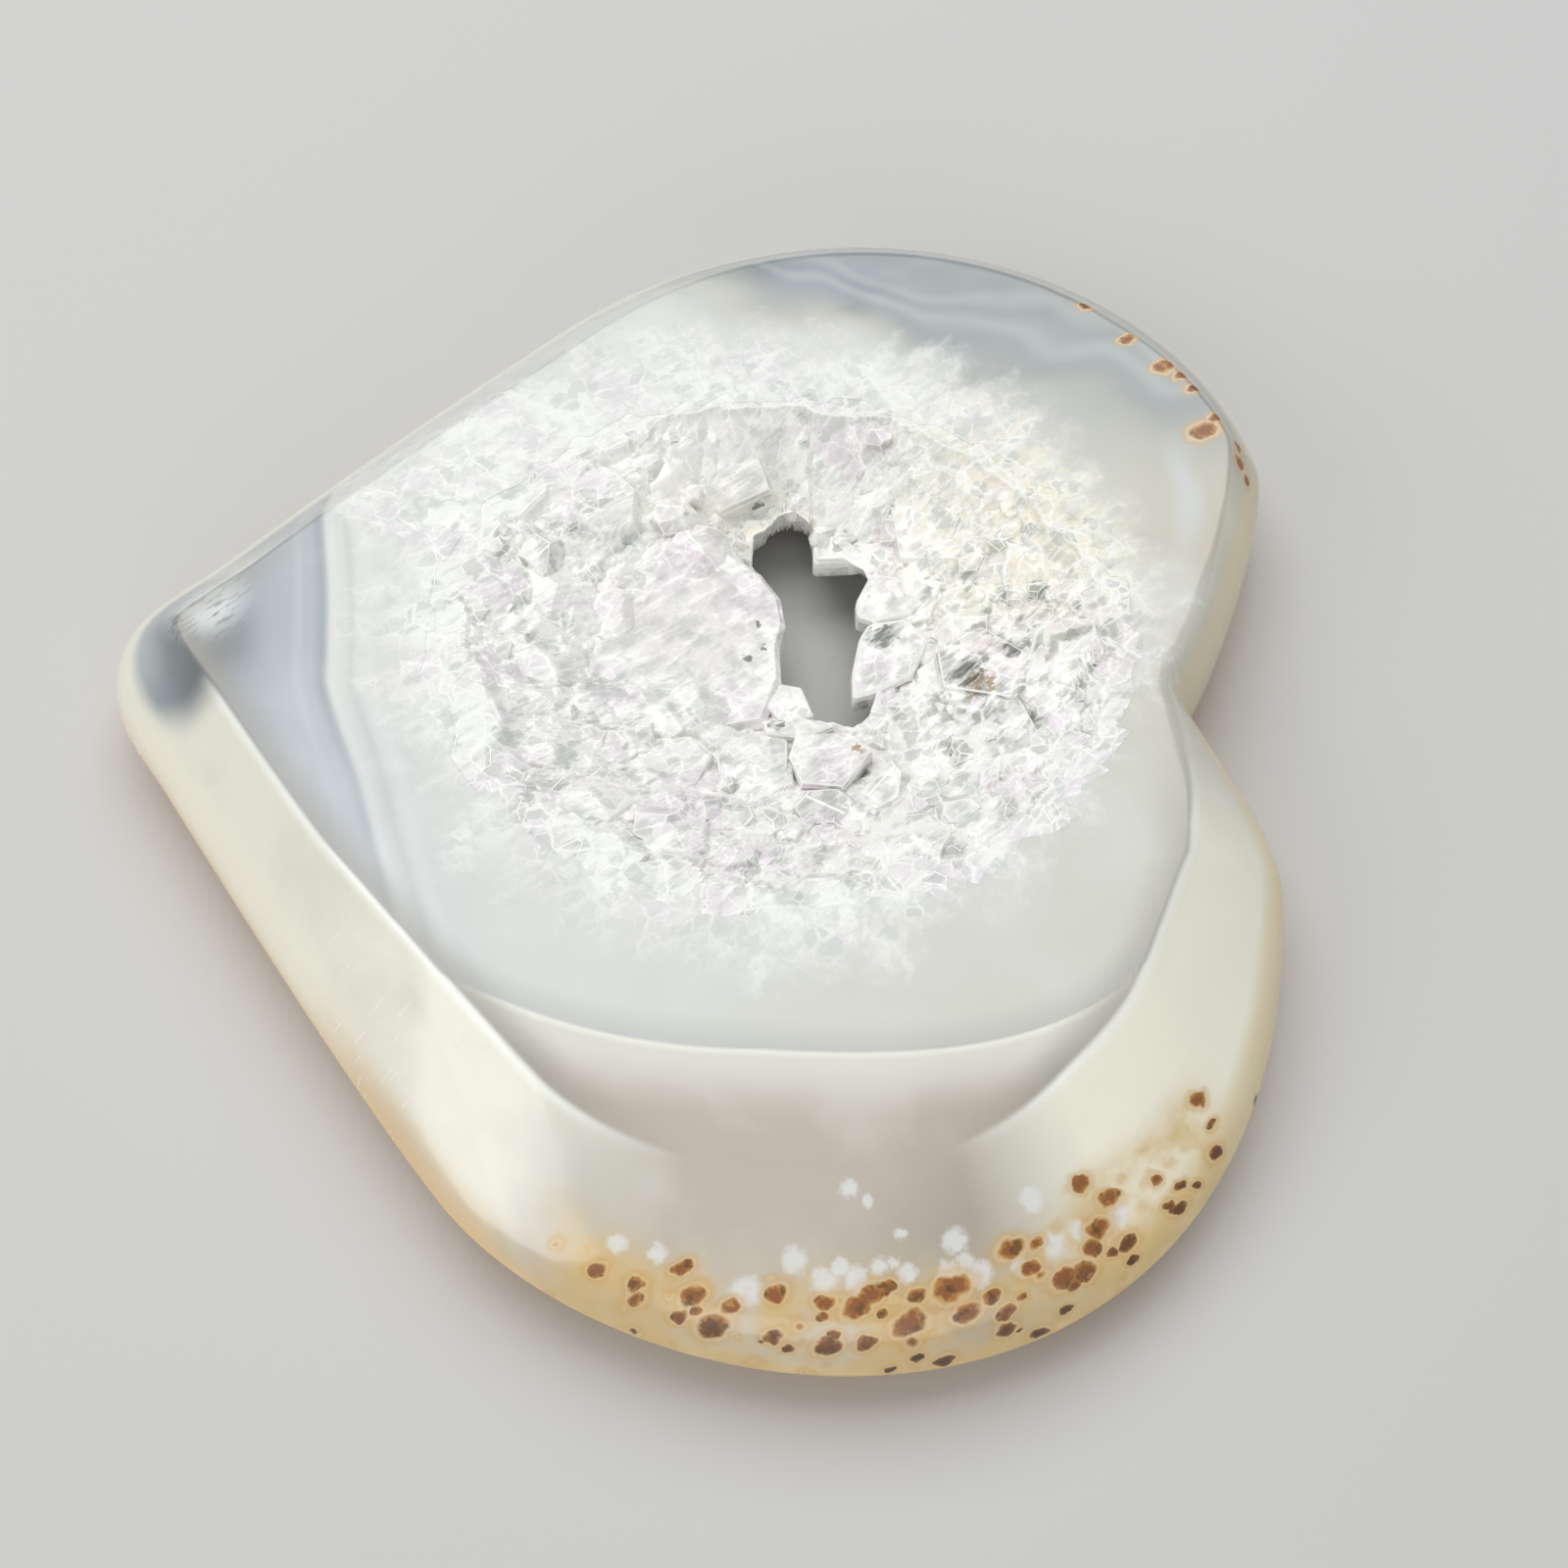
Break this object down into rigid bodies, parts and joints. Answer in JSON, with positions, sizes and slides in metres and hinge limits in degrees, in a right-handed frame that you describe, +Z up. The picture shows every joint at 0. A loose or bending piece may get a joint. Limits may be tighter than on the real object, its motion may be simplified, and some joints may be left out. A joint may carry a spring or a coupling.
{
  "type": "polished agate heart with a crystal-lined hollow",
  "caption": "Polished heart cut from a slice of pale banded agate, with bevelled edges and a quartz-lined hollow open right through it, to lie flat as an ornament.",
  "frame": {"origin": "under the middle of the object's box, on the surface that it rests on", "axes": "+Z up, +X from the heart's tip towards the notch between its lobes, +Y across the lobes"},
  "size_m": [0.09, 0.0966, 0.013],
  "materials": {
    "polished_agate": "polished milky chalcedony, pale blue-grey to cream, with brown specks near one edge",
    "quartz_crystal": "glassy natural crystal faces, milky white with a lavender tint"
  },
  "bodies": {
    "root": {"agate_slab": "polished_agate", "crystal_crust": "quartz_crystal"}
  },
  "joints": []
}
